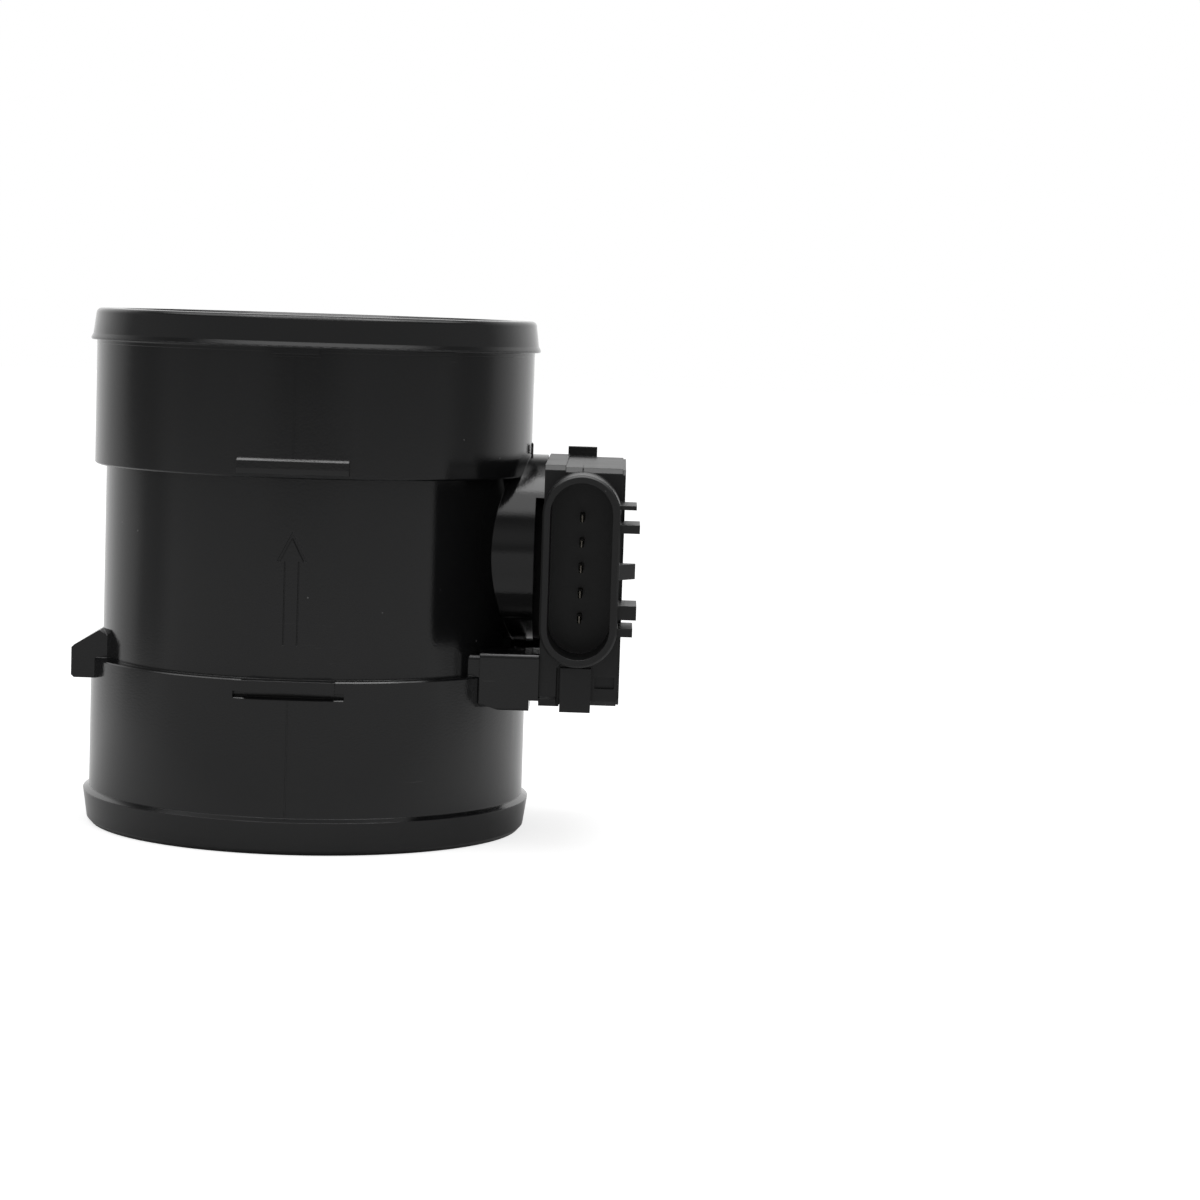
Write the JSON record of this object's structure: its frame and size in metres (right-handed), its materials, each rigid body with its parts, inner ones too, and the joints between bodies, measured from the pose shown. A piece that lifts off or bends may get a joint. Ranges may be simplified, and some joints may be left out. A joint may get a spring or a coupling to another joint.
{
  "type": "mass airflow sensor",
  "caption": "Round intake duct sensor: barbed hose spigots at both ends, a screened throat with a sampling bridge, and an electronics module with a plug shroud on its side.",
  "frame": {"origin": "on the axis of the bore, in the plane of the inlet rim", "axes": "+Z runs with the air flow to the outlet rim, +X to the electronics module, and the connector's mouth faces -Y"},
  "size_m": [0.1232, 0.099, 0.113],
  "materials": {
    "tube_plastic": "satin glass-filled moulding, black",
    "housing_plastic": "satin moulding, black",
    "cover_plastic": "satin moulding, black",
    "bridge_plastic": "satin moulding, black",
    "rim_plastic": "satin moulding, black",
    "screen_wire": "bare stainless wire",
    "spring_steel": "bright spring steel",
    "lead_metal": "nickel alloy posts",
    "heated_ceramic": "glass-coated ceramic",
    "reference_ceramic": "glass-coated ceramic",
    "thermistor_coating": "dark green resin bead",
    "gasket_rubber": "matt black",
    "sealant": "dark grey silicone",
    "board_laminate": "green solder mask",
    "spreader_aluminium": "milled",
    "chip_resin": "black moulding resin",
    "transistor_resin": "black moulding resin",
    "capacitor_ceramic": "tan ceramic",
    "resistor_ceramic": "black glaze",
    "terminal_metal": "tin-plated",
    "screw_steel": "zinc-plated"
  },
  "bodies": {
    "root": {"flow_tube": "tube_plastic", "inlet_screen": "screen_wire", "screen_rim": "rim_plastic", "screen_ring": "spring_steel", "sampling_bridge": "bridge_plastic", "sensor_leads": "lead_metal", "heated_element": "heated_ceramic", "reference_element": "reference_ceramic", "air_thermistor": "thermistor_coating", "pedestal_gasket": "gasket_rubber", "module_housing": "housing_plastic", "module_cover": "cover_plastic", "cover_sealant": "sealant", "circuit_board": "board_laminate", "heat_spreader": "spreader_aluminium", "driver_chip": "chip_resin", "power_transistor": "transistor_resin", "filter_capacitors": "capacitor_ceramic", "resistors": "resistor_ceramic", "terminal_1": "terminal_metal", "terminal_2": "terminal_metal", "terminal_3": "terminal_metal", "terminal_4": "terminal_metal", "terminal_5": "terminal_metal", "module_screws": "screw_steel"}
  },
  "joints": []
}
